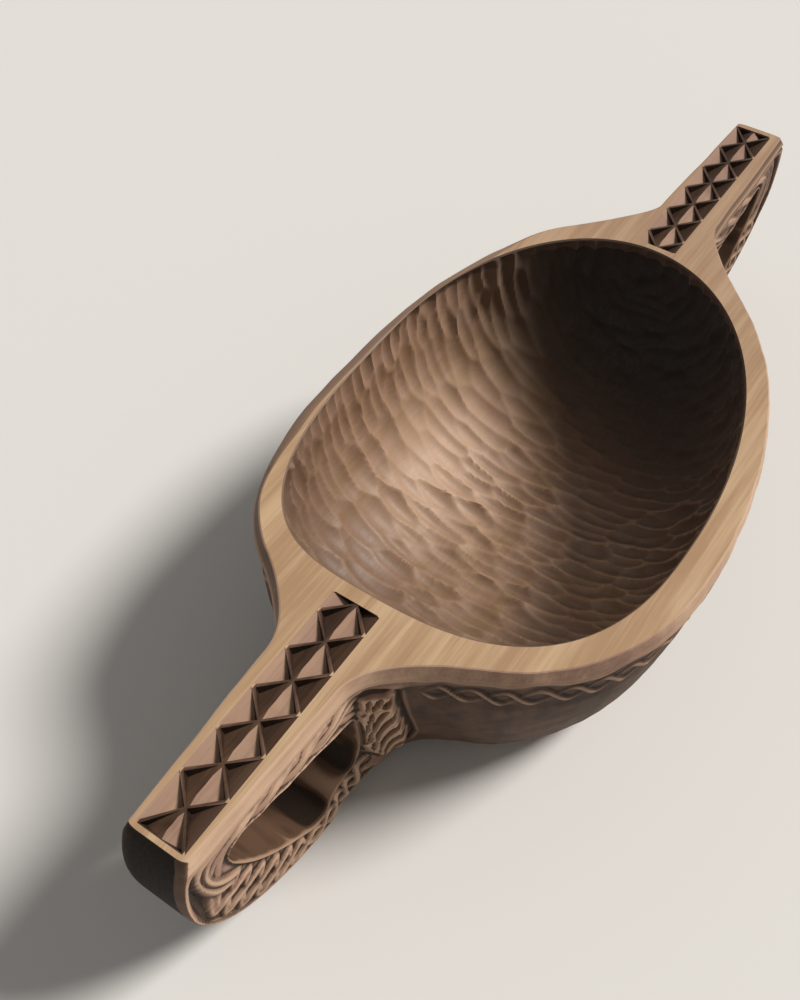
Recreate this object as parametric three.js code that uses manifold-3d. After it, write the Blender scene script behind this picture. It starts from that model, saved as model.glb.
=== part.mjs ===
// A two-handled drinking bowl carved from one billet of wood, in millimetres.
// +Z is up and the origin lies on the table, under the line of the two handles.
// X runs along that line from the near handle to the far one, and left is +Y.
// Depths are measured down from the flat top.
import * as THREE from 'three';
import { ConvexGeometry } from 'three/addons/geometries/ConvexGeometry.js';
import { mergeVertices } from 'three/addons/utils/BufferGeometryUtils.js';
import Module from 'manifold-3d';

const wasm = await Module();
wasm.setup();

// The billet
const height = 85; // table to the flat top
const reach = 200; // origin to the top edge of either handle's end

// The opening at the flat top, measured from the origin
const openingNear = 97;
const openingFar = 102.5;
const openingLeft = 63;
const openingRight = 79;
const openingWidestLeft = 11; // where along X the opening is widest, on its left
const openingWidestRight = -20;

// The flat rim round the opening
const rimNear = 13;
const rimFar = 9.5;
const rimLeft = 4.6;
const rimRight = 11.2;
const rimWidestLeft = -14;
const rimWidestRight = -28;

// The hollow
const floorThickness = 15; // wood left under the deepest point
const hollowFullness = 2.6; // 2 is an ellipse in section, and more is squarer

// The outer wall, below a bevelled strip that runs under the top edge all round
const stripDepth = 6.5;
const stripSpread = 2.4; // how far the strip leans out
const stripStep = 0.9; // how far the wall steps back under the strip
const stripGroove = 0.8; // height of that step
const wallLean = 0.07; // how far the wall leans in for each millimetre of depth
const driftNear = 0.03; // how far the whole wall shifts to the near handle, likewise
const driftLeft = 0.1; // and to the left
const shoulderDepth = 22; // the wall starts to turn in to the foot here
const footTurn = 18; // how far it turns in
const wallFullness = 2.2;

// The handles at the flat top
const nearTipWidth = 21.5;
const nearRootWidth = 28;
const farTipWidth = 19.8;
const farRootWidth = 25.2;
const farShift = -2; // the far handle stands a little to the right
const nearTaper = 0; // how far each side leans in for each millimetre of depth
const farTaper = 0.05;
const nearFlare = 24; // length of the hollow curve from a handle's side to the bowl
const farFlare = 19;
const lowFlare = 12; // its length low down
const lowFlareDepth = 30;
const nearJoint = 26.5; // where on the oval the curve ends, in degrees from the handle's line
const farJoint = 28;

// The handles seen from the side
const tipSwell = 6.5; // the end face swells beyond its top edge
const tipSwellDepth = 24;
const nearGripLift = 5.5; // lowest point of a handle above the table
const farGripLift = 13;
const gripOut = 35; // that point's distance from the bowl's oval
const notchRise = 5; // the underside's dip beside the foot, above that point
const notchOut = 25;
const endFullness = 0.6; // 0.55 is a quarter ellipse below the swell, and more is squarer
const edgeRound = 5; // radius along the handles' lower edges
const endRound = 1.5; // how far the edges of their end faces round off
const keelOut = -18; // where the underside runs out into the foot, likewise

// The finger slot through each handle
const slotTipBar = 13; // wood left at the handle's end
const slotTopBar = 16.5; // wood left above the slot, at its tip
const slotTopBarRoot = 25.5; // and at its root
const slotLowBar = 13.5; // wood left below the slot
const slotRootBlock = 15; // wood left between the slot and the bowl's oval
const slotSill = 29; // height of the slot's raised floor by the bowl
const slotTipHeight = 11.5; // height of the slot where its end turns up

// The chip carving on each handle: a row of diamonds between raised ridges
const chipRidge = 1.1; // width of a ridge
const chipDepth = 2.6;
const chipDiamonds = 5;
const nearChipTip = 4.5; // plain wood at the handle's end
const nearChipRim = 5.6; // plain wood beside the opening
const nearChipSide = 2.15; // plain wood along each side of the handle's end
const farChipTip = 3;
const farChipRim = 3;
const farChipSide = 0.4;

// How finely curves are cut
const arcSteps = 22;
const wallSteps = 11;
const flareSteps = 5;
const hollowSteps = 9;
const curveSteps = 9;
const roundSteps = 3;

const opening = {
  near: openingNear,
  far: openingFar,
  left: openingLeft,
  right: openingRight,
  widestLeft: openingWidestLeft,
  widestRight: openingWidestRight,
  fullness: { nearLeft: 3.2, farLeft: 2, nearRight: 2.7, farRight: 2 },
};
const rim = {
  near: openingNear + rimNear,
  far: openingFar + rimFar,
  left: openingLeft + rimLeft,
  right: openingRight + rimRight,
  widestLeft: rimWidestLeft,
  widestRight: rimWidestRight,
  fullness: { nearLeft: 2.7, farLeft: 2.3, nearRight: 2.25, farRight: 1.97 },
};
const handles = [
  {
    end: -1,
    bowl: rim.near,
    tipWidth: nearTipWidth,
    rootWidth: nearRootWidth,
    shift: 0,
    taper: nearTaper,
    flare: nearFlare,
    gripLift: nearGripLift,
    chipStart: reach - nearChipTip,
    chipEnd: openingNear + nearChipRim,
    chipSide: nearTipWidth / 2 - nearChipSide,
  },
  {
    end: 1,
    bowl: rim.far,
    tipWidth: farTipWidth,
    rootWidth: farRootWidth,
    shift: farShift,
    taper: farTaper,
    flare: farFlare,
    gripLift: farGripLift,
    chipStart: reach - farChipTip,
    chipEnd: openingFar + farChipRim,
    chipSide: farTipWidth / 2 - Math.abs(farShift) - farChipSide,
  },
];

// Sizes that follow from those above
const hollowDepth = height - floorThickness;
const wallSpread = stripSpread - stripStep;
const swellReach = reach + tipSwell;
const clear = 1; // how far a cutting shape stands past what it cuts

const lerp = THREE.MathUtils.lerp;

// A point of an egg-shaped oval, at an angle from the far handle's line.
function ovalPoint(oval, angle, inset = 0) {
  const along = Math.cos(angle);
  const across = Math.sin(angle);
  const side = across >= 0 ? 'Left' : 'Right';
  const end = along >= 0 ? 'far' : 'near';
  const power = 2 / oval.fullness[end + side];
  const widest = oval['widest' + side];
  const length = end === 'far' ? oval.far - inset - widest : oval.near - inset + widest;
  const width = (side === 'Left' ? oval.left : oval.right) - inset;
  const x = widest + Math.sign(along) * length * Math.abs(along) ** power;
  const y = Math.sign(across) * width * Math.abs(across) ** power;
  return new THREE.Vector2(x, y);
}

// The share of a quarter round that has turned in, for a share of its height.
function quarterTurn(share, fullness) {
  return 1 - (1 - share ** fullness) ** (1 / fullness);
}

// How far the outer wall has come in at a depth.
function wallInset(depth) {
  const share = Math.max(0, (depth - shoulderDepth) / (height - shoulderDepth));
  return wallLean * depth + footTurn * quarterTurn(share, wallFullness);
}

// Half the width of a handle's wall at a distance along it from the origin, at a depth.
function halfWidth(handle, distance, depth) {
  const share = THREE.MathUtils.clamp((distance - handle.bowl) / (reach - handle.bowl), 0, 1);
  return lerp(handle.rootWidth, handle.tipWidth, share) / 2 + wallSpread - handle.taper * depth;
}

// The hollow curve from a handle's side to the oval, tangent to both.
function flareCurve(root, joint, beyond) {
  const slope = (joint.y - beyond.y) / (joint.x - beyond.x);
  const corner = new THREE.Vector2(joint.x + (root.y - joint.y) / slope, root.y);
  return new THREE.QuadraticBezierCurve(root, corner, joint).getPoints(flareSteps);
}

// A handle's side at a level: from its end to where the curve to the bowl begins.
function handleSide(handle, level, side, inset, drift) {
  const share = Math.min(1, level.depth / lowFlareDepth);
  const flare = lowFlare + (handle.flare - lowFlare) * (1 - share) ** 1.5;
  const rootX = handle.end * (handle.bowl - inset + flare) + drift;
  const spread = level.spread - handle.taper * level.depth;
  const point = (x, half) => new THREE.Vector2(x, side * (half + spread) + handle.shift);
  return [
    point(handle.end * (swellReach + clear), handle.tipWidth / 2),
    point(rootX, handle.rootWidth / 2),
  ];
}

// One side of the outline at a level, from the near handle's end to the far one's.
function sideOutline(level, side) {
  const inset = wallInset(level.depth) - level.spread;
  const drift = new THREE.Vector2(-driftNear, driftLeft).multiplyScalar(level.depth);
  const angles = [Math.PI - THREE.MathUtils.degToRad(nearJoint), THREE.MathUtils.degToRad(farJoint)];
  const arc = [];
  for (let i = 0; i <= arcSteps; i += 1) {
    const angle = lerp(angles[0], angles[1], i / arcSteps);
    arc.push(ovalPoint(rim, side * angle, inset).add(drift));
  }
  const last = arc.length - 1;
  const [nearTip, nearRoot] = handleSide(handles[0], level, side, inset, drift.x);
  const [farTip, farRoot] = handleSide(handles[1], level, side, inset, drift.x);
  const nearCurve = flareCurve(nearRoot, arc[0], arc[1]).slice(0, -1);
  const farCurve = flareCurve(farRoot, arc[last], arc[last - 1]).slice(0, -1);
  return [nearTip, ...nearCurve, ...arc, ...farCurve.reverse(), farTip];
}

// A closed solid through rings of equal length. Each ring is listed anticlockwise as seen
// by someone who looks back along the rings, and flatten gives its ends' flat outline.
function loft(rings, flatten) {
  const count = rings[0].length;
  const positions = rings.flat().flatMap((point) => point.toArray());
  const index = [];
  for (let r = 0; r < rings.length - 1; r += 1) {
    for (let i = 0; i < count; i += 1) {
      const next = (i + 1) % count;
      const [a, b] = [r * count + i, r * count + next];
      index.push(a, b, b + count, a, b + count, a + count);
    }
  }
  const last = (rings.length - 1) * count;
  for (const [a, b, c] of THREE.ShapeUtils.triangulateShape(rings[0].map(flatten), [])) {
    index.push(a, c, b);
  }
  for (const [a, b, c] of THREE.ShapeUtils.triangulateShape(rings[rings.length - 1].map(flatten), [])) {
    index.push(last + a, last + b, last + c);
  }
  const geometry = new THREE.BufferGeometry();
  geometry.setAttribute('position', new THREE.Float32BufferAttribute(positions, 3));
  geometry.setIndex(index);
  return geometry;
}

// A loft whose rings lie level, from the lowest to the highest.
function levelLoft(rings) {
  const raised = rings.map(({ z, points }) => points.map((p) => new THREE.Vector3(p.x, p.y, z)));
  return loft(raised, (point) => new THREE.Vector2(point.x, point.y));
}

// The whole billet in plan, level by level from the foot to the flat top.
function billetForm() {
  const wallTop = stripDepth + stripGroove;
  const levels = [];
  for (let i = wallSteps; i >= 0; i -= 1) {
    const share = Math.sin((i / wallSteps) * (Math.PI / 2));
    levels.push({ depth: lerp(wallTop, height, share), spread: wallSpread });
  }
  levels.push({ depth: stripDepth, spread: stripSpread });
  levels.push({ depth: 0, spread: 0 });
  return levelLoft(
    levels.map((level) => ({
      z: height - level.depth,
      points: [...sideOutline(level, -1), ...sideOutline(level, 1).reverse()],
    })),
  );
}

// A handle's end and underside in the side view, from the flat top to the foot,
// with a share of its edges' rounding, as the distance from the origin and the depth.
function undersidePoints(handle, share) {
  const inset = edgeRound * share;
  const swell = swellReach - endRound * share;
  const grip = new THREE.Vector2(handle.bowl + gripOut, height - handle.gripLift - inset);
  const notch = new THREE.Vector2(handle.bowl + notchOut, height - handle.gripLift - notchRise - inset);
  const foot = new THREE.Vector2(handle.bowl + keelOut, height + clear);
  const top = new THREE.Vector2(reach - endRound * share, 0);
  const belly = new THREE.Vector2(swell, tipSwellDepth);
  const at = (x, depth) => new THREE.Vector2(x, depth);
  const curves = [
    new THREE.CubicBezierCurve(top, at(top.x + 3, 4), at(swell, belly.y / 2), belly),
    new THREE.CubicBezierCurve(
      belly,
      at(swell, lerp(belly.y, grip.y, endFullness)),
      at(lerp(grip.x, swell, endFullness), grip.y),
      grip,
    ),
    new THREE.CubicBezierCurve(grip, at(grip.x - 3, grip.y), at(notch.x + 4, notch.y), notch),
    new THREE.CubicBezierCurve(
      notch,
      at(lerp(notch.x, foot.x, 0.4), notch.y),
      at(lerp(notch.x, foot.x, 0.7), lerp(notch.y, foot.y, 0.5)),
      foot,
    ),
  ];
  return curves.flatMap((curve, i) => curve.getPoints(curveSteps).slice(i === 0 ? 0 : 1));
}

// The billet seen from the side, with its handles' lower edges rounded.
function sideForm() {
  const outer = rim.left + rim.right;
  const stations = [{ share: 1, half: () => outer }];
  for (let i = 0; i <= roundSteps; i += 1) {
    const turn = (i / roundSteps) * (Math.PI / 2);
    const back = edgeRound * (1 - Math.cos(turn));
    const half = (handle, point) => halfWidth(handle, point.x, point.y) - back;
    stations.push({ share: 1 - Math.sin(turn), half });
  }
  const ring = (station, side) => {
    const [near, far] = handles.map((handle) =>
      undersidePoints(handle, station.share).map((point) => {
        const y = side * station.half(handle, point) + handle.shift;
        return new THREE.Vector3(handle.end * point.x, y, height - point.y);
      }),
    );
    near[0].z = height + clear;
    far[0].z = height + clear;
    return [...near, ...far.reverse()];
  };
  const rings = stations.map((station) => ring(station, 1));
  rings.push(...stations.reverse().map((station) => ring(station, -1)));
  return loft(rings, (point) => new THREE.Vector2(point.x, point.z));
}

// A finger slot, as a bar across the whole width.
function slotForm(handle) {
  const root = handle.bowl + slotRootBlock;
  const tip = reach - slotTipBar;
  const low = height - handle.gripLift - slotLowBar;
  const sill = height - slotSill;
  const waist = (slotTopBarRoot + sill) / 2;
  const turn = slotTopBar + slotTipHeight;
  const at = (share, depth) => [handle.end * lerp(root, tip, share), height - depth];
  const shape = new THREE.Shape();
  shape.moveTo(...at(0.92, slotTopBar));
  shape.lineTo(...at(0.08, slotTopBarRoot));
  shape.quadraticCurveTo(...at(0, slotTopBarRoot), ...at(0, waist));
  shape.quadraticCurveTo(...at(0, sill), ...at(0.14, sill));
  shape.quadraticCurveTo(...at(0.27, sill), ...at(0.31, lerp(sill, low, 0.6)));
  shape.quadraticCurveTo(...at(0.38, lerp(sill, low, 1.3)), ...at(0.52, lerp(sill, low, 0.6)));
  shape.quadraticCurveTo(...at(0.86, lerp(turn, low, 0.5)), ...at(1, turn));
  shape.quadraticCurveTo(...at(1.07, slotTopBar), ...at(0.92, slotTopBar));
  const depth = 2 * (rim.left + rim.right);
  const bar = new THREE.ExtrudeGeometry(shape, { depth, bevelEnabled: false, curveSegments: 5 });
  bar.rotateX(Math.PI / 2);
  bar.translate(0, depth / 2, 0);
  return bar;
}

// The hollow: the opening's oval, shrinking along a full round section to the floor.
function hollowForm() {
  const centre = new THREE.Vector2((openingFar - openingNear) / 2, (openingLeft - openingRight) / 2);
  const ring = (scale, z) => {
    const points = [];
    for (let i = 0; i < 2 * arcSteps; i += 1) {
      const point = ovalPoint(opening, ((i + 0.5) / arcSteps) * Math.PI);
      points.push(point.sub(centre).multiplyScalar(scale).add(centre));
    }
    return { z, points };
  };
  const rings = [];
  for (let i = 0; i < hollowSteps; i += 1) {
    const turn = ((i + 0.35) / hollowSteps) * (Math.PI / 2);
    const scale = Math.sin(turn) ** (2 / hollowFullness);
    rings.push(ring(scale, height - hollowDepth * Math.cos(turn) ** (2 / hollowFullness)));
  }
  rings.push(ring(1, height), ring(1, height + clear));
  return levelLoft(rings);
}

// A chip: its three corners on the flat top, drawn in by half a ridge, and its deepest corner.
function chipForm(corners, deepest) {
  const [a, b, c] = corners;
  const opposite = [b.distanceTo(c), c.distanceTo(a), a.distanceTo(b)];
  const around = opposite[0] + opposite[1] + opposite[2];
  const inRadius = Math.abs(b.clone().sub(a).cross(c.clone().sub(a))) / around;
  const inCentre = new THREE.Vector2();
  const middle = new THREE.Vector2();
  corners.forEach((corner, i) => {
    inCentre.addScaledVector(corner, opposite[i] / around);
    middle.addScaledVector(corner, 1 / 3);
  });
  const low = deepest.clone().lerp(middle, 0.3);
  const points = [new THREE.Vector3(low.x, low.y, height - chipDepth)];
  for (const corner of corners) {
    const drawn = corner.clone().lerp(inCentre, chipRidge / 2 / inRadius);
    points.push(new THREE.Vector3(drawn.x, drawn.y, height));
    points.push(new THREE.Vector3(drawn.x, drawn.y, height + clear));
  }
  return new ConvexGeometry(points);
}

// All chips of one handle. Crosses stand on the row's line, and notches midway beside it.
function chipRow(handle) {
  const start = handle.chipStart;
  const pitch = (start - handle.chipEnd) / (chipDiamonds + 0.5);
  const at = (x, y) => new THREE.Vector2(handle.end * x, y);
  const cross = (k) => at(start - (k + 0.5) * pitch, 0);
  const notch = (k, side) => at(start - k * pitch, side * handle.chipSide);
  const chips = [];
  for (const side of [-1, 1]) {
    for (let k = 0; k <= chipDiamonds; k += 1) {
      const last = k === chipDiamonds;
      const outer = last ? at(handle.chipEnd, side * handle.chipSide) : notch(k + 1, side);
      const inner = k === 0 ? at(start, 0) : cross(k - 1);
      chips.push(chipForm([cross(k), notch(k, side), outer], cross(k)));
      chips.push(chipForm([inner, notch(k, side), cross(k)], notch(k, side)));
    }
  }
  return chips;
}

function toManifold(geometry) {
  const bare = geometry.clone();
  bare.deleteAttribute('normal');
  bare.deleteAttribute('uv');
  const merged = mergeVertices(bare);
  const vertProperties = new Float32Array(merged.attributes.position.array);
  const triVerts = new Uint32Array(merged.index.array);
  return new wasm.Manifold(new wasm.Mesh({ numProp: 3, vertProperties, triVerts }));
}

function toGeometry(solid) {
  const mesh = solid.getMesh();
  const geometry = new THREE.BufferGeometry();
  geometry.setAttribute('position', new THREE.BufferAttribute(mesh.vertProperties, 3));
  geometry.setIndex(new THREE.BufferAttribute(mesh.triVerts, 1));
  return geometry;
}

function vesselGeometry() {
  let solid = toManifold(billetForm()).intersect(toManifold(sideForm()));
  const cuts = [hollowForm(), ...handles.map(slotForm), ...handles.flatMap(chipRow)];
  for (const cut of cuts) {
    solid = solid.subtract(toManifold(cut));
  }
  const geometry = toGeometry(solid).toNonIndexed();
  geometry.computeVertexNormals();
  return geometry;
}

const wood = new THREE.MeshStandardMaterial({ color: 0x8d6d50, roughness: 0.62, metalness: 0 });
const vessel = new THREE.Mesh(vesselGeometry(), wood);
vessel.name = 'vessel';

const part = new THREE.Group();
part.add(vessel);

export default part;
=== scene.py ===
"""A two-handled drinking bowl, carved from one billet of wood and oiled.

Shapes are worked out in millimetres and handed to Blender in metres. X runs from the
near handle to the far one, left is +Y, and depths are measured down from the flat top.
"""

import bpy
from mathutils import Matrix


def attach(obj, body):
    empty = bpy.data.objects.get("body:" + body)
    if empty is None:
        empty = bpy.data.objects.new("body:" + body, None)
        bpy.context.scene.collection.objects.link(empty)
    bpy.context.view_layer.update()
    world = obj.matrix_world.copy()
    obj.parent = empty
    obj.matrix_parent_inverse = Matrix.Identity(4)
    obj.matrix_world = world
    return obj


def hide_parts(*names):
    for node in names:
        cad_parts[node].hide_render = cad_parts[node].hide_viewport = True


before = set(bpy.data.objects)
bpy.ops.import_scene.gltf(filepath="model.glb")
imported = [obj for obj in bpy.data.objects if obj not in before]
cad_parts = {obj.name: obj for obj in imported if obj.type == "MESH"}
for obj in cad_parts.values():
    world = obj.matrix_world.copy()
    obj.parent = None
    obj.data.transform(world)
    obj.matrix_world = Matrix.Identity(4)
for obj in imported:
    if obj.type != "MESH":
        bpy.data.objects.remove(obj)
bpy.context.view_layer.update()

import math
from types import SimpleNamespace

import bmesh
import bpy
import numpy as np
from bpy.props import FloatProperty, FloatVectorProperty, IntProperty, PointerProperty
from mathutils import Matrix, Vector

bl_info = {
    "name": "Carved Drinking Bowl",
    "version": (1, 0, 0),
    "blender": (4, 5, 0),
    "location": "View3D > Sidebar > Bowl",
    "description": "Builds a two-handled wooden drinking bowl with gouge marks and chip carving",
    "category": "Object",
}

MM = 0.001
BATCH = 4000  # points that are worked on at a time
END_FROM = 170  # millimetres from the origin to where a handle's end begins


def length(name, mm, description):
    """A size that is typed in millimetres and kept in metres."""
    return FloatProperty(
        name=name, description=description, default=mm * MM,
        precision=5, subtype="DISTANCE", unit="LENGTH",
    )


def ratio(name, value, description):
    return FloatProperty(name=name, description=description, default=value, subtype="FACTOR")


def number(name, value, description):
    return FloatProperty(name=name, description=description, default=value)


def degrees(name, value, description):
    return FloatProperty(
        name=name, description=description, default=math.radians(value),
        subtype="ANGLE", unit="ROTATION",
    )


def colour(name, value, description):
    return FloatVectorProperty(
        name=name, description=description, default=value, size=3, min=0, max=1, subtype="COLOR"
    )


class OpeningSizes(bpy.types.PropertyGroup):
    """The opening at the flat top, measured from the origin."""

    near: length("Near", 97, "Towards the near handle")
    far: length("Far", 102.5, "Towards the far handle")
    left: length("Left", 63, "To the left")
    right: length("Right", 79, "To the right")
    widest_left: length("Widest left", 11, "Where along the bowl its left side is widest")
    widest_right: length("Widest right", -20, "Where along the bowl its right side is widest")
    near_left: number("Near left fullness", 3.2, "2 is an ellipse and more is squarer")
    far_left: number("Far left fullness", 2, "2 is an ellipse and more is squarer")
    near_right: number("Near right fullness", 2.7, "2 is an ellipse and more is squarer")
    far_right: number("Far right fullness", 2, "2 is an ellipse and more is squarer")


class RimSizes(bpy.types.PropertyGroup):
    """The outer edge of the flat rim, measured from the origin."""

    near: length("Near", 110, "Towards the near handle")
    far: length("Far", 112, "Towards the far handle")
    left: length("Left", 67.6, "To the left")
    right: length("Right", 90.2, "To the right")
    widest_left: length("Widest left", -14, "Where along the bowl its left side is widest")
    widest_right: length("Widest right", -28, "Where along the bowl its right side is widest")
    near_left: number("Near left fullness", 2.7, "2 is an ellipse and more is squarer")
    far_left: number("Far left fullness", 2.3, "2 is an ellipse and more is squarer")
    near_right: number("Near right fullness", 2.25, "2 is an ellipse and more is squarer")
    far_right: number("Far right fullness", 1.97, "2 is an ellipse and more is squarer")


class WallSizes(bpy.types.PropertyGroup):
    """The billet's height, its wall under the rim and the hollow inside it."""

    height: length("Height", 85, "Table to the flat top")
    floor: length("Floor", 15, "Wood left under the deepest point")
    hollow_fullness: number("Hollow fullness", 2.6, "2 is an ellipse in section and more is squarer")
    strip_depth: length("Strip depth", 6.5, "Height of the bevelled strip under the top edge")
    strip_spread: length("Strip spread", 2.4, "How far the strip leans out")
    strip_step: length("Strip step", 0.9, "How far the wall steps back under the strip")
    strip_groove: length("Strip groove", 0.8, "Height of that step")
    lean: ratio("Lean", 0.07, "How far the wall leans in for each unit of depth")
    drift_near: ratio("Drift near", 0.03, "How far the wall shifts to the near handle, likewise")
    drift_left: ratio("Drift left", 0.1, "How far the wall shifts to the left, likewise")
    shoulder: length("Shoulder", 22, "Depth at which the wall starts to turn in to the foot")
    foot_turn: length("Foot turn", 18, "How far it turns in")
    fullness: number("Wall fullness", 2.2, "2 is a quarter ellipse and more is squarer")
    arris: length("Arris", 0.6, "Softening of the edges of the flat top")


class HandleSizes(bpy.types.PropertyGroup):
    """Sizes that the two handles have in common."""

    reach: length("Reach", 200, "Origin to the top edge of either end")
    tip_swell: length("Tip swell", 6.5, "How far an end bulges beyond its top edge")
    tip_swell_depth: length("Swell depth", 24, "Depth at which it bulges most")
    grip_out: length("Grip", 35, "How far from the rim the underside is lowest")
    notch_out: length("Notch", 25, "How far from the rim the underside steps up")
    notch_rise: length("Notch rise", 5, "Height of that step")
    keel_out: length("Keel", -18, "How far from the rim the underside runs into the foot")
    end_fullness: ratio("End fullness", 0.6, "0 is a slack curve under the end and 1 a full one")
    edge_round: length("Edge round", 5, "Rounding of the underside's edges")
    end_round: length("End round", 1.5, "Rounding of the end's edges")


class NearHandleSizes(bpy.types.PropertyGroup):
    """The near handle, measured at the flat top."""

    tip_width: length("Tip width", 21.5, "Width at its end")
    root_width: length("Root width", 28, "Width where it meets the bowl")
    shift: length("Shift", 0, "How far it stands to the left of the bowl's line")
    taper: ratio("Taper", 0, "How far each side leans in for each unit of depth")
    flare: length("Flare", 24, "Length of the hollow curve from its side to the bowl")
    joint: degrees("Joint", 26.5, "Where on the rim that curve ends")
    grip_lift: length("Grip lift", 5.5, "Its lowest point above the table")
    chip_tip: length("Chip margin at the tip", 4.5, "Plain wood at its end")
    chip_rim: length("Chip margin at the rim", 5.6, "Plain wood beside the opening")
    chip_side: length("Chip margin at the sides", 2.15, "Plain wood along each side of its end")
    chip_longer: length("End chip", 3, "How much longer the chip at its end is than half a diamond")


class FarHandleSizes(bpy.types.PropertyGroup):
    """The far handle, measured at the flat top."""

    tip_width: length("Tip width", 19.8, "Width at its end")
    root_width: length("Root width", 25.2, "Width where it meets the bowl")
    shift: length("Shift", -2, "How far it stands to the left of the bowl's line")
    taper: ratio("Taper", 0.05, "How far each side leans in for each unit of depth")
    flare: length("Flare", 19, "Length of the hollow curve from its side to the bowl")
    joint: degrees("Joint", 28, "Where on the rim that curve ends")
    grip_lift: length("Grip lift", 13, "Its lowest point above the table")
    chip_tip: length("Chip margin at the tip", 3, "Plain wood at its end")
    chip_rim: length("Chip margin at the rim", 3, "Plain wood beside the opening")
    chip_side: length("Chip margin at the sides", 0.4, "Plain wood along each side of its end")
    chip_longer: length("End chip", 0.8, "How much longer the chip at its end is than half a diamond")


class SlotSizes(bpy.types.PropertyGroup):
    """The finger slot through each handle."""

    tip_bar: length("Tip bar", 15.2, "Wood left at the handle's end")
    top_bar: length("Top bar", 16.5, "Wood left above the slot at its tip")
    top_bar_root: length("Top bar at the root", 25.5, "Wood left above the slot at its root")
    low_bar: length("Low bar", 13.5, "Wood left below the slot")
    root_block: length("Root block", 15, "Wood left between the slot and the rim")
    sill: length("Sill", 29, "Height of the slot's raised floor by the bowl")
    tip_height: length("Tip height", 11.5, "Height of the slot where its end turns up")
    arris: length("Arris", 1, "Softening of the slot's edges")


class CarvingSizes(bpy.types.PropertyGroup):
    """The chips on the handles and the gouge marks in the hollow."""

    chip_ridge: length("Ridge", 0.55, "Width of the ridges between chips")
    chip_depth: length("Chip depth", 3.3, "Depth of a chip's deepest corner")
    bed_depth: length("Bed depth", 0.3, "How far the ridges lie under the flat top")
    chip_diamonds: IntProperty(name="Diamonds", description="Diamonds in each row", default=5)
    chip_crest: length("Crest", 0.55, "How far a diamond's crest lies under the flat top")
    stroke_long: length("Stroke length", 20, "Spacing of gouge marks along the tool's way")
    stroke_wide: length("Stroke width", 5.8, "Their spacing across it")
    stroke_depth: length("Stroke depth", 3.3, "Depth of a gouge mark in the hollow")
    stroke_small: ratio("Small strokes", 0.72, "Size of the marks on the floor and the right wall")
    facet_depth: length("Facet depth", 0.9, "Depth of the knife's facets inside the slots")


class WoodColours(bpy.types.PropertyGroup):
    """Colours of the wood where it is sanded, cut and stained, and of its painted shade and highlights.
    """

    sanded: colour("Sanded", (0.60, 0.41, 0.25), "The flat top")
    streak: colour("Streak", (0.42, 0.26, 0.145), "Dark streaks of the grain on the flat top")
    # Worn wood, and also the colour of painted highlights on crests and in the hollow.
    worn: colour("Worn", (0.60, 0.41, 0.28), "Crests and edges that hands have rubbed")
    cut: colour("Cut", (0.42, 0.265, 0.175), "Carved sides of the handles")
    hollow: colour("Hollow", (0.33, 0.20, 0.14), "The gouged hollow, in light grain")
    floor: colour("Hollow floor", (0.26, 0.155, 0.08), "The gouged hollow, in dark grain")
    strip: colour("Strip", (0.25, 0.145, 0.108), "The bevelled strip under the rim")
    wall: colour("Wall", (0.11, 0.061, 0.037), "The bowl's stained side")
    stain: colour("Stain", (0.045, 0.026, 0.018), "The darkest grain of the stained side")
    # The recess colour is dirt in the deepest cuts, and also painted shade: the hollow's far end, the
    # handles' end faces and the darkest chip faces.
    soot_and_shade: colour("Recess", (0.012, 0.008, 0.006), "Dirt and stain in the deepest cuts")


class StageSettings(bpy.types.PropertyGroup):
    """Camera, lights and floor."""

    place: FloatVectorProperty(
        name="Camera place", description="Where the camera stands",
        default=(-0.2677, -0.1433, 0.4179), size=3, subtype="TRANSLATION", unit="LENGTH",
    )
    turn: degrees("Camera turn", -53.13, "Its direction round the bowl, 0 looking along +Y")
    tilt: degrees("Camera tilt", 52.03, "Its angle above the horizon")
    roll: degrees("Camera roll", -2.62, "Its roll about its own line of sight")
    lens: number("Lens", 44.06, "Focal length in millimetres")
    key: number("Key light", 3.55, "Strength of the soft, distant lamp")
    key_turn: degrees("Key turn", 131.3, "Its direction round the bowl, 0 from +Y")
    key_height: degrees("Key height", 42, "Its height above the horizon")
    key_spread: degrees("Key spread", 17, "Its width as seen from the bowl, which softens shadows")
    fill: ratio("Fill light", 0.23, "Strength of the light from all round")
    floor: colour("Floor", (0.78, 0.76, 0.73), "The plain floor")
    backdrop: colour("Backdrop", (0.9, 0.89, 0.87), "What is seen beyond the floor")


def settings(context, name):
    """One group of settings, with its lengths in millimetres."""
    group = getattr(context.scene, "bowl_" + name)
    values = {}
    for key in GROUPS[name].__annotations__:
        value = getattr(group, key)
        is_length = group.bl_rna.properties[key].unit == "LENGTH"
        values[key] = value / MM if is_length else value
    return SimpleNamespace(**values)


def lerp(start, end, share):
    return start + (end - start) * share


def smooth(low, high, value):
    """0 below low, 1 above high and a soft step between them."""
    share = np.clip((value - low) / (high - low), 0, 1)
    return share * share * (3 - 2 * share)


def stretch(rise, fall, value):
    """1 from the end of one soft step to the start of another, and 0 beyond them."""
    return smooth(*rise, value) * (1 - smooth(*fall, value))


def bell(value, width):
    """1 at 0 and less on both sides, softly."""
    return np.exp(-((value / width) ** 2))


# The bowl's outlines


def oval(sizes, angle, inset=0):
    """Points of an egg-shaped oval, at angles from the far handle's line."""
    angle = np.asarray(angle, float)
    along, across = np.cos(angle), np.sin(angle)
    is_far, is_left = along >= 0, across >= 0
    left = np.where(is_far, sizes.far_left, sizes.near_left)
    right = np.where(is_far, sizes.far_right, sizes.near_right)
    power = 2 / np.where(is_left, left, right)
    widest = np.where(is_left, sizes.widest_left, sizes.widest_right)
    half = np.where(is_far, sizes.far - inset - widest, sizes.near - inset + widest)
    width = np.where(is_left, sizes.left, sizes.right) - inset
    x = widest + np.sign(along) * half * np.abs(along) ** power
    y = np.sign(across) * width * np.abs(across) ** power
    return np.stack([x, y], -1)


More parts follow.
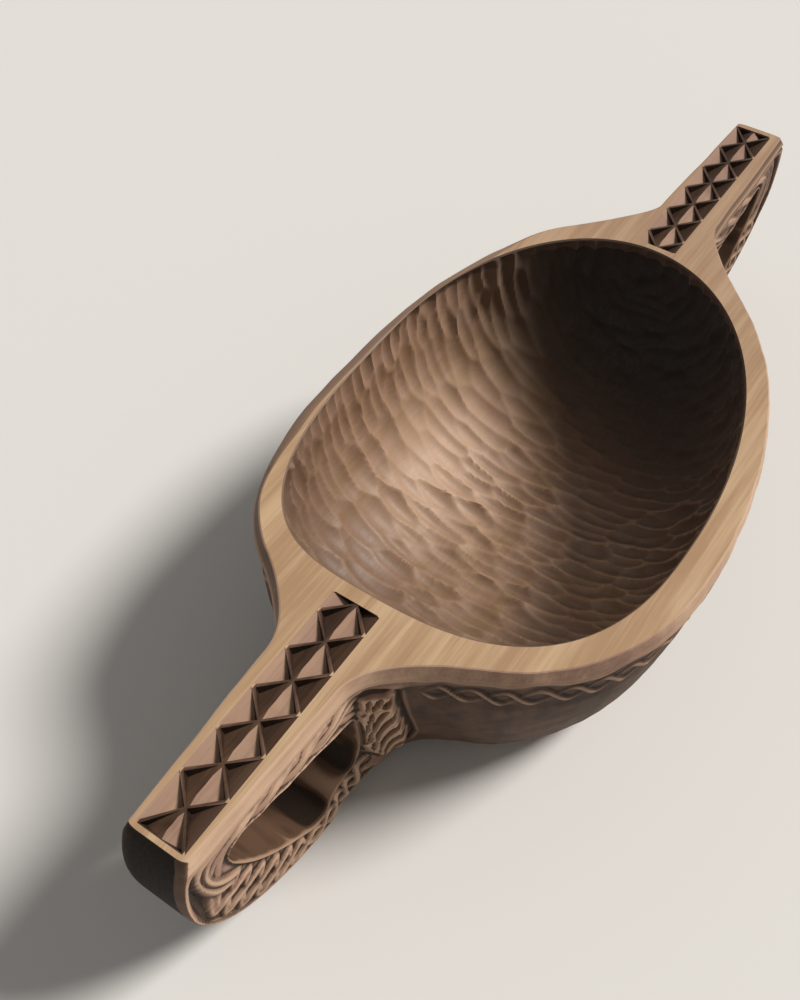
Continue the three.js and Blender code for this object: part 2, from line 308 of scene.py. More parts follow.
def quarter_turn(share, fullness):
    """The share of a quarter round that has turned in, for a share of its height."""
    return 1 - (1 - share**fullness) ** (1 / fullness)


def run_along(points):
    """How far along a line each of its points lies."""
    return np.concatenate([[0], np.cumsum(np.linalg.norm(np.diff(points, axis=0), axis=1))])


def even(points, count):
    """The same line through evenly spaced points."""
    run = run_along(points)
    at = np.linspace(0, run[-1], count)
    return np.stack([np.interp(at, run, points[:, k]) for k in range(points.shape[1])], -1)


def unit(vectors):
    return vectors / np.maximum(np.linalg.norm(vectors, axis=-1, keepdims=True), 1e-9)


def turned_right(ahead):
    """Unit vectors a quarter turn to the right of directions in a plane."""
    return unit(np.stack([ahead[..., 1], -ahead[..., 0]], -1))


def outward(line):
    """Unit normals of a closed line of points, away from its middle."""
    out = turned_right(np.roll(line, -1, 0) - np.roll(line, 1, 0))
    return out * np.sign((out * (line - line.mean(0))).sum(1).mean())


def bezier(points, count):
    """A Bezier curve of any degree through its control points."""
    t = np.linspace(0, 1, count)[:, None]
    rows = [np.repeat(np.array([p], float), count, 0) for p in points]
    while len(rows) > 1:
        rows = [lerp(a, b, t) for a, b in zip(rows, rows[1:])]
    return rows[0]


class Billet:
    """The bowl's outer shape: its outline level by level and its handles' side view."""

    arc_steps = 280
    flare_steps = 52
    handle_steps = 112
    wall_levels = 125
    strip_levels = 6
    low_flare = 12
    low_flare_depth = 30
    low_flare_power = 1.5
    slope_parts = 22  # an arc's end slope is taken over one of these parts of it

    def __init__(self, context):
        self.rim = settings(context, "rim")
        self.wall = settings(context, "wall")
        self.both = settings(context, "handles")
        self.near = settings(context, "near_handle")
        self.far = settings(context, "far_handle")
        self.near.end, self.near.bowl = -1, self.rim.near
        self.far.end, self.far.bowl = 1, self.rim.far
        self.spread = self.wall.strip_spread - self.wall.strip_step
        strip = self.wall.strip_depth
        depths = [0, strip, strip + self.wall.strip_groove]
        self.strip_profile = depths, [-self.spread, self.wall.strip_step, 0]

    def inset(self, depth):
        """How far the wall lies within the rim at a depth."""
        wall = self.wall
        share = max(0.0, (depth - wall.shoulder) / (wall.height - wall.shoulder))
        return wall.lean * depth + wall.foot_turn * quarter_turn(share, wall.fullness)

    def half_width(self, handle, distance, depth):
        """Half a handle's width, with the strip's overhang."""
        share = np.clip((distance - handle.bowl) / (self.both.reach - handle.bowl), 0, 1)
        width = lerp(handle.root_width, handle.tip_width, share)
        return width / 2 + self.spread - handle.taper * depth

    def handle_side(self, handle, depth, spread, side, joint, beyond, drift):
        """A handle's side with its hollow curve to the bowl, from its end to the curve's end."""
        inset = self.inset(depth) - spread
        share = min(1, depth / self.low_flare_depth)
        flare = self.low_flare + (handle.flare - self.low_flare) * (1 - share) ** self.low_flare_power
        lean = spread - handle.taper * depth
        tip_x = handle.end * (self.both.reach + self.both.tip_swell + 1)
        root_x = handle.end * (handle.bowl - inset + flare) + drift
        tip = np.array([tip_x, side * (handle.tip_width / 2 + lean) + handle.shift])
        root = np.array([root_x, side * (handle.root_width / 2 + lean) + handle.shift])
        slope = (joint[1] - beyond[1]) / (joint[0] - beyond[0])
        corner = [joint[0] + (root[1] - joint[1]) / slope, root[1]]
        curve = bezier([root, corner, joint], self.flare_steps + 1)
        straight = lerp(tip, root, np.linspace(0, 1, self.handle_steps + 1)[:, None])
        return np.concatenate([straight[:-1], curve[:-1]])

    def side(self, depth, spread, side):
        """One side of the outline at a depth, from the near handle's end to the far one's."""
        inset = self.inset(depth) - spread
        drift = np.array([-self.wall.drift_near, self.wall.drift_left]) * depth
        ends = [math.pi - self.near.joint, self.far.joint]
        chord = (ends[1] - ends[0]) / self.slope_parts
        dense = oval(self.rim, side * np.linspace(*ends, 600), inset) + drift
        arc = even(dense, self.arc_steps + 1)
        beyond = oval(self.rim, side * np.array([ends[0] + chord, ends[1] - chord]), inset) + drift
        near = self.handle_side(self.near, depth, spread, side, arc[0], beyond[0], drift[0])
        far = self.handle_side(self.far, depth, spread, side, arc[-1], beyond[1], drift[0])
        return np.concatenate([near, arc, far[::-1]])

    def levels(self):
        """Depths of the outline's levels and how far each is spread, from the foot upwards."""
        wall = self.wall
        top = wall.strip_depth + wall.strip_groove
        rows = [(depth, self.spread) for depth in np.linspace(wall.height, top, self.wall_levels)]
        for depth in np.linspace(wall.strip_depth, wall.arris, self.strip_levels):
            rows.append((depth, wall.strip_spread * depth / wall.strip_depth))
        upper = wall.arris * 0.3
        rows.append((upper, wall.strip_spread * wall.arris / wall.strip_depth - upper))
        rows.append((0, -wall.arris * 0.75))
        return rows

    def end_curve(self, handle, share, steps=26):
        """A handle's end and underside in the side view, as distance and depth."""
        size = self.both
        height = self.wall.height
        drawn = size.edge_round * share
        swell = size.reach + size.tip_swell - size.end_round * share
        grip = (handle.bowl + size.grip_out, height - handle.grip_lift - drawn)
        notch = (handle.bowl + size.notch_out, height - handle.grip_lift - size.notch_rise - drawn)
        foot = (handle.bowl + size.keel_out, height + 1)
        top = (size.reach - size.end_round * share, 0)
        belly = (swell, size.tip_swell_depth)
        full = size.end_fullness
        under = lerp(grip[0], swell, full)
        curves = [
            [top, (top[0] + 3, 4), (swell, belly[1] / 2), belly],
            [belly, (swell, lerp(belly[1], grip[1], full)), (under, grip[1]), grip],
            [grip, (grip[0] - 3, grip[1]), (notch[0] + 4, notch[1]), notch],
            [
                notch,
                (lerp(notch[0], foot[0], 0.4), notch[1]),
                (lerp(notch[0], foot[0], 0.7), lerp(notch[1], foot[1], 0.5)),
                foot,
            ],
        ]
        pieces = [bezier(curve, steps) for curve in curves]
        return np.concatenate([pieces[0]] + [piece[1:] for piece in pieces[1:]])

    def slot_outline(self, handle, slot):
        """A finger slot's outline in the side view, as distance and depth."""
        height = self.wall.height
        root, tip = handle.bowl + slot.root_block, self.both.reach - slot.tip_bar
        low = height - handle.grip_lift - slot.low_bar
        sill = height - slot.sill
        waist = (slot.top_bar_root + sill) / 2
        turn = slot.top_bar + slot.tip_height
        floor, dip, rise = lerp(sill, low, 0.6), lerp(sill, low, 1.3), lerp(turn, low, 0.5)

        def at(share, depth):
            return (lerp(root, tip, share), depth)

        curves = [
            [at(0.92, slot.top_bar), at(0.08, slot.top_bar_root)],
            [at(0.08, slot.top_bar_root), at(0, slot.top_bar_root), at(0, waist)],
            [at(0, waist), at(0, sill), at(0.14, sill)],
            [at(0.14, sill), at(0.27, sill), at(0.31, floor)],
            [at(0.31, floor), at(0.38, dip), at(0.52, floor)],
            [at(0.52, floor), at(0.86, rise), at(1, turn)],
            [at(1, turn), at(1.07, slot.top_bar), at(0.92, slot.top_bar)],
        ]
        line = np.concatenate([bezier(curve, 24)[:-1] for curve in curves] + [np.array([curves[0][0]])])
        return even(line, 112)[:-1]


# Meshes as closed solids, in millimetres


def loft(rings):
    """Faces of a closed solid through rings of equal length, with flat ends."""
    rows, count = rings.shape[:2]
    a = (np.arange(rows - 1)[:, None] * count + np.arange(count)[None]).ravel()
    b = (np.arange(rows - 1)[:, None] * count + np.roll(np.arange(count), -1)[None]).ravel()
    faces = np.stack([a, b, b + count, a + count], -1).tolist()
    faces.append(list(range(count))[::-1])
    faces.append([(rows - 1) * count + i for i in range(count)])
    return rings.reshape(-1, 3), faces


def make_solid(name, points, faces, finish):
    """An object in millimetres whose faces all carry one material."""
    mesh = bpy.data.meshes.new(name)
    mesh.from_pydata([tuple(p) for p in np.asarray(points).tolist()], [], faces)
    mesh.materials.append(finish)
    mesh.validate()
    form = bmesh.new()
    form.from_mesh(mesh)
    bmesh.ops.recalc_face_normals(form, faces=form.faces)
    if form.calc_volume(signed=True) < 0:
        bmesh.ops.reverse_faces(form, faces=form.faces)
    form.to_mesh(mesh)
    form.free()
    mesh.update()
    thing = bpy.data.objects.new(name, mesh)
    bpy.context.scene.collection.objects.link(thing)
    return thing


def combine(base, operation, tool):
    """Cuts or trims one solid by another and removes the tool."""
    step = base.modifiers.new("cut", "BOOLEAN")
    step.operation = operation
    step.solver = "MANIFOLD"
    step.material_mode = "TRANSFER"
    step.object = tool
    shape = bpy.data.meshes.new_from_object(base.evaluated_get(bpy.context.evaluated_depsgraph_get()))
    if not len(shape.polygons):
        raise RuntimeError("cutting with " + tool.name + " left nothing")
    base.modifiers.remove(step)
    old = base.data
    base.data = shape
    bpy.data.meshes.remove(old)
    worn = tool.data
    bpy.data.objects.remove(tool)
    bpy.data.meshes.remove(worn)


def grid_normals(grid):
    """Normals of a grid of points that is closed along its second axis."""
    down = np.gradient(grid, axis=0)
    around = np.roll(grid, -1, 1) - np.roll(grid, 1, 1)
    return unit(np.cross(around, down))


def spread_marks(points, ways, across, spacing, sizes, rng):
    """Seeds for tool marks, no two of which are closer than the spacing, along and across."""
    chosen = []
    kept = np.empty((0, 3))
    for i in rng.permutation(len(points)):
        if len(kept):
            gap = (kept - points[i]) / sizes[i]
            along, beside = gap @ ways[i], gap @ across[i]
            off = (gap**2).sum(1) - along**2 - beside**2
            if ((along / spacing[0]) ** 2 + (beside**2 + off) / spacing[1] ** 2).min() < 1:
                continue
        chosen.append(i)
        kept = points[chosen]
    return np.array(chosen)


def mark_depths(points, seeds, ways, across, sizes, spacing, depth, rng):
    """How deep overlapping tool marks cut at each point: the deepest of the marks there."""
    count = len(seeds)
    wide = spacing[1] * rng.uniform(0.95, 1.3, count) * sizes
    long = spacing[0] * rng.uniform(0.9, 1.4, count) * sizes
    deep = depth * rng.uniform(0.8, 1.1, count)
    tilt = rng.uniform(-0.4, 0.4, count) * depth
    off_reach = 8
    blur = 0.12
    cut = np.empty(len(points))
    for start in range(0, len(points), BATCH):
        some = slice(start, start + BATCH)
        gap = points[some][:, None] - seeds[None]
        along = np.einsum("pkc,kc->pk", gap, ways) / long
        beside = np.einsum("pkc,kc->pk", gap, across) / wide
        off = np.maximum((gap**2).sum(-1) - (along * long) ** 2 - (beside * wide) ** 2, 0)
        value = deep - depth * (along**2 + beside**2 + off / off_reach**2) + tilt * along
        peak = value.max(1)
        cut[some] = peak + blur * np.log(np.exp((value - peak[:, None]) / blur).sum(1))
    return cut


def tool_marks(grid, points, normals, ways, sizes, spacing, depth, rng):
    """How deep tool marks cut over a grid, with their seeds picked among the points."""
    across = np.cross(normals, ways)
    seeds = spread_marks(points, ways, across, spacing, sizes, rng)
    marks = [some[seeds] for some in (points, ways, across, sizes)]
    return mark_depths(grid.reshape(-1, 3), *marks, spacing, depth, rng).reshape(grid.shape[:2])


def thinned_solid(name, rings, finish, shortest=0.6, fewest=18, full_rings=6):
    """A closed solid through rings, whose points halve where they would lie too close."""
    around = len(rings[-1])
    counts = []
    target = around
    for i in range(len(rings) - 1, -1, -1):
        mean = np.linalg.norm(np.diff(rings[i][:: around // target], axis=0), axis=1).mean()
        if mean < shortest and target > fewest and i < len(rings) - full_rings:
            target //= 2
        counts.append(target)
    counts = counts[::-1]
    points, faces, starts = [], [], []
    for ring, count in zip(rings, counts):
        starts.append(len(points))
        points.extend(ring[:: around // count].tolist())
    for i in range(len(rings) - 1):
        a, b, n, m = starts[i], starts[i + 1], counts[i], counts[i + 1]
        for j in range(n):
            k = (j + 1) % n
            if m == n:
                faces.append([a + j, a + k, b + k, b + j])
            else:
                low, mid, high = b + 2 * j, b + 2 * j + 1, b + (2 * j + 2) % m
                faces += [[a + j, mid, low], [a + j, a + k, mid], [a + k, high, mid]]
    faces.append(list(range(counts[0]))[::-1])
    faces.append([starts[-1] + j for j in range(counts[-1])])
    return make_solid(name, points, faces, finish)


# The carving


def gouge_depths(grid, normal, worked, carving):
    """How deep the gouge cut over the hollow: long calm marks on the left wall and small ones below."""
    rng = np.random.default_rng(11)
    rows = np.where(worked)[0][::2]
    points, normals = grid[rows, ::3].reshape(-1, 3), normal[rows, ::3].reshape(-1, 3)
    ways = unit(np.cross(normals, [1.0, 0, 0]) + np.array([0, 0.02, 0]))
    x, y, z = points.T
    left_wall = smooth(-5, 35, y - 0.2 * x) * smooth(14, 34, z)
    near_wall = smooth(35, 75, -x) * smooth(20, 34, z)
    calm = np.maximum(left_wall, near_wall) * (1 - 0.75 * smooth(36, 60, z))
    largest = 1.12
    sizes = lerp(carving.stroke_small, largest, calm)
    spacing = (carving.stroke_long, carving.stroke_wide)
    cut = tool_marks(grid, points, normals, ways, sizes, spacing, carving.stroke_depth, rng)
    return cut - 0.45 * carving.stroke_depth


def hollow_solid(context, finish):
    """The hollow as a solid, with every gouge mark standing out from it."""
    opening = settings(context, "opening")
    wall = settings(context, "wall")
    around, rows, scale = 576, 132, 100
    centre = np.array([(opening.far - opening.near) / 2, (opening.left - opening.right) / 2])
    edge = even(oval(opening, np.linspace(-math.pi, math.pi, 4001)), around + 1)[:-1]
    angle = np.linspace(0.004, 1, 800) * math.pi / 2
    power = 2 / wall.hollow_fullness
    depth = wall.height - wall.floor
    section = even(np.stack([scale * np.sin(angle) ** power, depth * np.cos(angle) ** power], -1), rows)
    widths, depths = section[:, 0] / scale, section[:, 1]
    grid = np.empty((rows, around, 3))
    grid[..., :2] = (edge - centre) * widths[:, None, None] + centre
    grid[..., 2] = wall.height - depths[:, None]
    normal = grid_normals(grid)
    normal *= np.sign((normal[..., :2] * (grid[..., :2] - centre)).sum(-1).mean())
    cut = gouge_depths(grid, normal, widths > 0.04, settings(context, "carving"))
    cut *= smooth(0.2, 2.5, depths)[:, None]
    grid = grid + normal * cut[..., None]
    lip = grid[-1].copy()
    lip[:, 2] = wall.height - wall.arris
    flare = lip.copy()
    flare[:, :2] += unit(edge - centre) * wall.arris
    flare[:, 2] = wall.height
    rise = flare + np.array([0, 0, 4])
    return thinned_solid("hollow", [*grid[:-1], lip, flare, rise], finish)


def slot_solid(billet, handle, slot, carving, finish, seed):
    """A finger slot as a bar through the handle, with softened edges and knife facets."""
    line = billet.slot_outline(handle, slot)
    out = outward(line)
    half = billet.half_width(handle, line[:, 0], line[:, 1])
    flared = [(1.02, slot.arris), (1.6, 2.2)]  # shares of half the width, and how far it opens there
    plain = [(share * 0.93, 0) for share in np.linspace(-1, 1, 19)]
    stations = [(-share, flare) for share, flare in flared[::-1]] + plain + flared
    rings = []
    for share, flare in stations:
        place = line + out * flare
        across = share * half + handle.shift
        rings.append(np.stack([handle.end * place[:, 0], across, billet.wall.height - place[:, 1]], -1))
    grid = np.stack(rings)
    normal = np.zeros_like(grid)
    normal[..., 0] = handle.end * out[:, 0]
    normal[..., 2] = -out[:, 1]
    middle = slice(len(flared), -len(flared))
    points, normals = grid[middle].reshape(-1, 3), normal[middle].reshape(-1, 3)
    ways = np.tile([0.0, 1.0, 0.0], (len(points), 1))
    spacing, sizes = (11, 7), np.ones(len(points))
    rng = np.random.default_rng(seed)
    cut = tool_marks(grid, points, normals, ways, sizes, spacing, carving.facet_depth, rng)
    grid = grid + normal * (cut - 0.4 * carving.facet_depth)[..., None]
    if handle.end > 0:
        grid = grid[:, ::-1]
    return make_solid("slot", *loft(grid), finish)


def chip_row(billet, handle):
    """Where a handle's chips start, from the origin, and how far they reach to each side."""
    beside = handle.tip_width / 2 - abs(handle.shift) - handle.chip_side
    return billet.both.reach - handle.chip_tip, beside


def chip_solid(billet, handle, opening_end, carving, finish):
    """All chips of one handle, as separate closed shells in one mesh."""
    height = billet.wall.height
    start, beside = chip_row(billet, handle)
    pitch = (start - opening_end) / (carving.chip_diamonds + 0.5)
    ridge = carving.chip_ridge / 2
    slant = math.hypot(pitch / 2, beside)
    along, across = ridge * slant / beside, ridge * slant / (pitch / 2)
    steep, end_steep = 1.2, 1.5  # from a chip's corner to its deepest point
    points, faces = [], []

    def shell(corners, low):
        """Adds a shell over corners that go round once, and returns its first lower point."""
        count, first = len(corners), len(points)
        for lift in (2, 0):
            points.extend([handle.end * x, y, height + lift] for x, y in corners)
        points.extend([handle.end * x, y, height - depth] for x, y, depth in low)
        faces.append([first + i for i in range(count)])
        for i in range(count):
            j = (i + 1) % count
            faces.append([first + count + i, first + count + j, first + j, first + i])
        return first + count

    half = beside - across
    for k in range(carving.chip_diamonds + 1):
        middle = start - k * pitch
        near, far = middle + pitch / 2 - along, middle - pitch / 2 + along
        widest = deepest = middle
        if k == 0:
            near = middle + handle.chip_longer - ridge
            widest, deepest = near, near - end_steep
        corners = [(near, 0), (widest, half), (far, 0), (widest, -half)]
        low = [(deepest, place, carving.chip_depth) for place in (half - steep, steep - half)]
        tip = shell(corners, [((near + far) / 2, 0, carving.chip_crest), *low])
        left_corner, root, right_corner, crest, left, right = range(tip + 1, tip + 7)
        faces += [[tip, crest, left], [crest, root, left]]
        faces += [[root, left_corner, left], [left_corner, tip, left]]
        faces += [[crest, tip, right], [root, crest, right]]
        faces += [[right_corner, root, right], [tip, right_corner, right]]
    edge = beside + carving.bed_depth / carving.chip_depth * beside
    for side in (-1, 1):
        for k in range(carving.chip_diamonds + 1):
            inner = start - (k + 0.5) * pitch
            outer = opening_end if k == carving.chip_diamonds else start - (k + 1) * pitch
            first = start + handle.chip_longer if k == 0 else start - k * pitch
            ends = [(first - along, side * edge), (outer + along, side * edge)]
            corners = [(inner, side * across), *ends]
            base = shell(corners, [(inner, side * (across + steep), carving.chip_depth)])
            faces += [[base + i, base + (i + 1) % 3, base + 3] for i in range(3)]
    return make_solid("chips", points, faces, finish)


def chip_bed(billet, handle, opening_end, carving, finish):
    """The shallow bed of a chip row, whose floor is left as the ridges between the chips."""
    start, beside = chip_row(billet, handle)
    start += handle.chip_longer
    corners = [(start, -beside), (start, beside), (opening_end, beside), (opening_end, -beside)]
    levels = (billet.wall.height - carving.bed_depth, billet.wall.height + 1)
    rings = [[[handle.end * x, y, level] for x, y in corners] for level in levels]
    return make_solid("chip bed", *loft(np.array(rings)), finish)


def nearest(points, line):
    """For each point, how far the line is and how far along it that is."""
    start, step = line[:-1], np.diff(line, axis=0)
    size, run = np.linalg.norm(step, axis=1), run_along(line)
    gaps, places = np.empty((2, len(points)))
    for first in range(0, len(points), BATCH):
        some = slice(first, first + BATCH)
        gap = points[some][:, None] - start[None]
        share = np.clip((gap * step).sum(-1) / size**2, 0, 1)
        far = ((gap - share[..., None] * step) ** 2).sum(-1)
        best = far.argmin(1)
        pick = np.arange(len(best)), best
        gaps[some] = np.sqrt(far[pick])
        places[some] = run[best] + share[pick] * size[best]
    return gaps, places


def ripple(place, period, seed):
    """A slow unevenness of the hand from -1 to 1, without a repeat."""
    shifts = np.random.default_rng(seed).uniform(0, 2 * math.pi, 3)
    waves = ((1, 1), (1.618, 1), (0.53, 0.6))  # their periods and their shares
    total = sum(
        share * np.sin(2 * math.pi * place / (period * times) + shift)
        for (times, share), shift in zip(waves, shifts)
    )
    return total / sum(share for _, share in waves)


def twist(phase, beside, swing, width, dip, vein=0.14, fullness=0.5):
    """Height from 0 to 1 of two strands that twist round each other."""
    best = np.zeros_like(beside)
    vein_width = 0.22
    for turn in (0, math.pi):
        off = (beside - swing * np.cos(phase + turn)) / width
        round_top = np.clip(1 - off**2, 0, 1) ** fullness
        over = 1 - dip + dip * np.sin(phase + turn)
        best = np.maximum(best, (round_top - vein * bell(off, vein_width)) * over)
    return best


class SideCarving:
    """The twisted band round a finger slot and the knot at the handle's root."""

    to_band = 5.2  # from the slot's edge to the middle of the band
    start_depth = 40  # where the band's path starts, beside the bowl
    bowl_edge = [11, 14, 22, 38, 56, 74], [2, 5, 4, 1.5, -2.5, -4]  # the knot's, by depth
    slot_edge = [14, 46, 53, 68, 74], [15.5, 15.5, 13.5, 6.5, 1]
    knot_side = 1.7
    knot_height = 3.0
    knot_cut = 4.2
    knot_cuts = (
        ((11.6, 16.5), (13.2, 27)), ((8.2, 16.5), (9.8, 26)), ((5.2, 17), (6.4, 25)),
        ((9.8, 28), (13.4, 39)), ((5.6, 27), (12.8, 47)), ((2.8, 31), (11.2, 53)),
        ((1.2, 40), (9, 59)), ((-0.8, 48), (6.6, 64)), ((-2, 57), (4, 69)),
    )

    def __init__(self, billet, handle, slot):
        self.handle = handle
        outline = billet.slot_outline(handle, slot)
        self.outline = np.concatenate([outline, outline[:1]])
        self.edge = even(billet.end_curve(handle, 0), 200)
        path = outline + outward(outline) * self.to_band
        for _ in range(24):
            path = (np.roll(path, 1, 0) + 2 * path + np.roll(path, -1, 0)) / 4
        first = int(np.argmin(np.hypot(path[:, 0] - handle.bowl, path[:, 1] - self.start_depth)))
        path = np.roll(path, -first, 0)
        if path[len(path) // 5, 1] > self.start_depth:
            path = path[::-1]
        self.path = even(path, 260)
        self.run = run_along(self.path)
        distance, depth = self.path.T
        below_near, below_far, above, round_tip = 6.2, 8.8, 14.5, 26  # lengths of half a turn
        share = np.clip((distance - handle.bowl - 15) / 68, 0, 1)
        period = lerp(lerp(below_near, below_far, share), above, 1 - smooth(26, 36, depth))
        period = lerp(period, round_tip, smooth(180, 189, distance) * (1 - smooth(30, 38, depth)))
        steps = math.pi / ((period[1:] + period[:-1]) / 2) * np.diff(self.run)
        self.phase = np.concatenate([[0], np.cumsum(steps)])

    def height_at(self, distance, depth, side):
        """How far the carved side stands out from the plain one, in millimetres."""
        place = np.stack([distance, depth], -1)
        gap, _ = nearest(place, self.outline)
        rim, _ = nearest(place, self.edge)
        _, along = nearest(place, self.path)
        top_margin, end_margin, slot_margin = 8.0, lerp(3.2, 1.6, smooth(12, 46, depth)), 0.9
        below_top = depth - top_margin + 0.35 * ripple(distance, 23, 5)
        from_end = rim - end_margin
        corner = 10
        blend = np.clip(0.5 + (from_end - below_top) / corner, 0, 1)
        outer = lerp(from_end, below_top, blend) - corner / 2 * blend * (1 - blend)
        inner = gap - slot_margin
        width = inner + outer
        beside = (inner - outer) / np.maximum(width, 1.5)
        phase = np.interp(along + 0.7 * ripple(along, 31, 7), self.run, self.phase)
        phase += 0.6 if side > 0 else 0
        narrow = smooth(34, 46, depth)
        swing, strand, dip = lerp(0.46, 0.6, narrow), lerp(0.45, 0.3, narrow), lerp(0.33, 0.2, narrow)
        vein = lerp(0.14, 0.6, smooth(13, 16, width) * (1 - narrow))
        floor, pinch_depth = lerp(1.7, 1.9, narrow), 2.0
        carved = (floor - 0.1) * twist(phase, beside, swing, strand, dip, vein) - floor
        pinch = np.clip(1 - (np.cos(phase) / 0.9) ** 2, 0, 1) * bell(beside - 0.72, 0.36)
        carved -= pinch_depth * pinch * (1 - narrow)
        inside = smooth(-0.2, 1.3, outer) * smooth(-1, 0.9, inner)
        groove = bell(outer, 0.8) * smooth(6.8, 7.4, depth)
        root = smooth(self.handle.bowl + 5, self.handle.bowl + 14, distance)
        return (carved * inside - groove) * root

    def knot(self, distance, depth):
        """The knot at the root: a raised pad, steep on both sides, with finger cuts."""
        across = distance - self.handle.bowl
        from_bowl = across - np.interp(depth, *self.bowl_edge)
        to_slot = np.interp(depth, *self.slot_edge) - across
        here = stretch((14, 16.5), (64, 72), depth)
        pad = smooth(0, self.knot_side, from_bowl) * smooth(0, self.knot_side, to_slot) * here
        place = np.stack([across, depth], -1)
        cut = np.zeros_like(pad)
        for first, last in np.array(self.knot_cuts, float):
            far, run = nearest(place, np.stack([first, last]))
            share = run / np.linalg.norm(last - first)
            half = 0.25 + np.sqrt(share * (1 - share) * 4)  # narrow at both ends of the cut
            cut = np.maximum(cut, np.sqrt(np.clip(1 - (far / half) ** 2, 0, 1)))
        crease = 1.3 * here * bell(from_bowl + 0.4, 0.7)
        return pad * (self.knot_height - self.knot_cut * cut) - crease


def bowl_braid(run, depth, seed):
    """The shallow twisted line under the rim's strip, on the bowl's own side."""
    middle, half, turn = 17.5, 6.8, 11
    beside = (depth - middle - 1.2 * ripple(run, 60, seed)) / half
    phase = -math.pi * (run + 1.2 * ripple(run, 40, seed + 1)) / turn
    rope = twist(phase, beside, swing=0.62, width=0.3, dip=0.35, vein=0.1, fullness=1)
    return np.exp(-((beside / 1.2) ** 6)) * (1.1 * rope - 0.55)


def carved_side(billet, carvings, depths, spreads, side):
    """One side of the billet with its carving, and how far its edges sag there."""
    grid = np.stack([billet.side(depth, spread, side) for depth, spread in zip(depths, spreads)])
    plain = np.zeros(grid.shape[:2])
    depth, run = depths[:, None] + plain, run_along(grid[-1])[None] + plain
    x = grid[..., 0]
    from_middle = np.abs(x)
    shift = plain.copy()
    for handle, carving in zip((billet.near, billet.far), carvings):
        distance = x * handle.end
        near = distance > handle.bowl - 12
        height = plain.copy()
        height[near] = carving.height_at(distance[near], depth[near], side)
        height[near] += carving.knot(distance[near], depth[near])
        shift += height * smooth(6.6, 7.6, depth)
    arc = billet.handle_steps + billet.flare_steps
    bowl = smooth(-20, -10, run - run[0, arc]) * (1 - smooth(6, 16, run - run[0, -arc]))
    braid = bowl_braid(run, depth, 21 + side) * smooth(7.2, 9.5, depth)
    facets = 0.22 * ripple(run + 0.7 * depth, 17, 31) * ripple(depth - 0.2 * run, 13, 32)
    shift += bowl * (braid + facets * stretch((20, 30), (78, 84), depth))
    shift += (1 - smooth(172, 186, from_middle)) * 0.25 * ripple(run, 41, 41 + side)
    # The strip stands proud on the bowl alone. On the left hands have rubbed the edge round,
    # and on the right the strip thins towards the far handle.
    proud = np.maximum(spreads - billet.spread, 0)[:, None]
    shift -= proud * smooth(billet.near.bowl + 4, billet.near.bowl + 22, from_middle)
    if side > 0:
        worn = stretch((-88, -50), (60, 95), x) * (3.5 + 0.5 * smooth(0, 30, x))
        shift -= worn * np.clip(1 - depth / 4, 0, 1) ** 2
    else:
        shift += 0.12 * bowl * ripple(run, 11, 45)
        shift -= 0.75 * proud * smooth(-45, 0, x)
    sag = (bowl * (1.4 if side < 0 else 0.2) + 0.2) * ripple(run, 29, 51 + side)
    out = turned_right(np.gradient(grid, axis=1)) * -side
    return grid + out * shift[..., None], sag * stretch((1, 5.3), (8.5, 14), depth)


def billet_faces(levels, coarse, fine_level):
    """Faces round the billet's levels, two levels high at its coarse points, and its flat ends."""
    count = len(coarse)
    faces = []
    for j in range(count):
        k = (j + 1) % count
        level = 0
        while level < levels - 1:
            a, b = level * count + j, level * count + k
            if level + 2 > fine_level or not (coarse[j] or coarse[k]):
                faces.append([a, b, b + count, a + count])
                level += 1
                continue
            beside_b = [] if coarse[k] else [b + count]
            beside_a = [] if coarse[j] else [a + count]
            faces.append([a, b, *beside_b, b + 2 * count, a + 2 * count, *beside_a])
            level += 2
    top = (levels - 1) * count
    for i in range(count // 2 - 1):
        strip = [i, i + 1, count - 2 - i, count - 1 - i]  # across, from the right side to the left
        faces.append(strip[::-1])
        faces.append([top + corner for corner in strip])
    return faces


def billet_solid(billet, carvings, finish, strip_finish):
    """The whole billet in plan, level by level, with the carving on its sides."""
    depths, spreads = np.array(billet.levels()).T
    right, left = [carved_side(billet, carvings, depths, spreads, side) for side in (-1, 1)]
    outline, sag = [np.concatenate([a, b[:, ::-1]], 1) for a, b in zip(right, left)]
    grid = np.concatenate([outline, (billet.wall.height - depths[:, None] - sag)[..., None]], -1)
    levels, count = sag.shape
    half, arc = count // 2, billet.handle_steps + billet.flare_steps
    coarse = (np.arange(half) >= arc) & (np.arange(half) < half - arc)
    fine_level = int(np.argmax(depths < 28))
    faces = billet_faces(levels, np.concatenate([coarse, coarse[::-1]]), fine_level)
    vessel = make_solid("carved_vessel", grid.reshape(-1, 3), faces, finish)
    vessel.data.materials.append(strip_finish)
    strip_start = (billet.wall_levels + 1) * count
    # Painted shade: on the left beside the near handle, away from the lamp, the strip keeps the side's
    # darker finish. It keeps it too past 118 mm on the far handle.
    dark_left, dark_far = (-140, -72), 118
    for face in vessel.data.polygons:
        x, y = face.center.xy
        dark = (y > 0 and dark_left[0] < x < dark_left[1]) or x > dark_far
        if min(face.vertices) >= strip_start and not dark:
            face.material_index = 1
    return vessel


